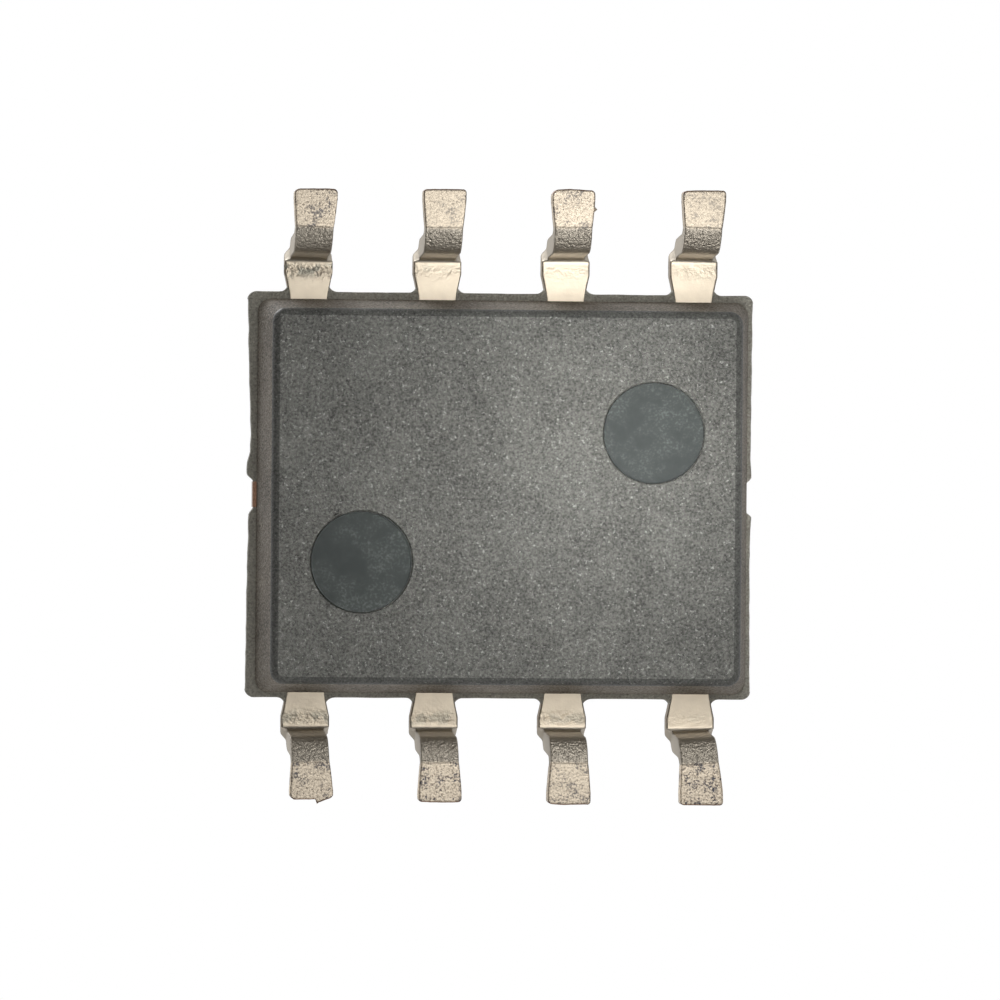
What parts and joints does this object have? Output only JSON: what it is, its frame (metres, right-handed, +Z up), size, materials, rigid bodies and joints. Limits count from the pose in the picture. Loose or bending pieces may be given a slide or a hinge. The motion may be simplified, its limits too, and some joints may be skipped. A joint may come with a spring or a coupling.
{
  "type": "small-outline integrated circuit chip",
  "caption": "Small-outline chip: drafted black epoxy body on gull-wing leads at 1.27 mm pitch, with lead frame, die and bond wires inside.",
  "frame": {"origin": "middle of the rectangle that the eight soles stand on, in the plane of the soles", "axes": "+Z up from the board to the flat top, +X along the lead rows from lead 1 to lead 4, +Y across the rows from leads 1 to 4 towards leads 5 to 8"},
  "size_m": [0.005, 0.006, 0.0016],
  "materials": {
    "mould_compound": "silica-filled epoxy, moulded in a spark-eroded cavity, fine matt grain",
    "tin_plate": "matt electroplated tin over copper alloy, speckled on the soles",
    "copper_alloy": "rolled and stamped copper alloy, bare at the cut ends",
    "silver_epoxy": "cured silver-filled adhesive",
    "silicon": "polished silicon with passivated top",
    "gold_wire": "drawn gold wire"
  },
  "bodies": {
    "root": {"body": "mould_compound", "lead_1": "tin_plate", "lead_2": "tin_plate", "lead_3": "tin_plate", "lead_4": "tin_plate", "lead_5": "tin_plate", "lead_6": "tin_plate", "lead_7": "tin_plate", "lead_8": "tin_plate", "die_pad": "copper_alloy", "die_attach": "silver_epoxy", "die": "silicon", "bond_wire_1": "gold_wire", "bond_wire_2": "gold_wire", "bond_wire_3": "gold_wire", "bond_wire_4": "gold_wire", "bond_wire_5": "gold_wire", "bond_wire_6": "gold_wire", "bond_wire_7": "gold_wire", "bond_wire_8": "gold_wire"}
  },
  "joints": []
}
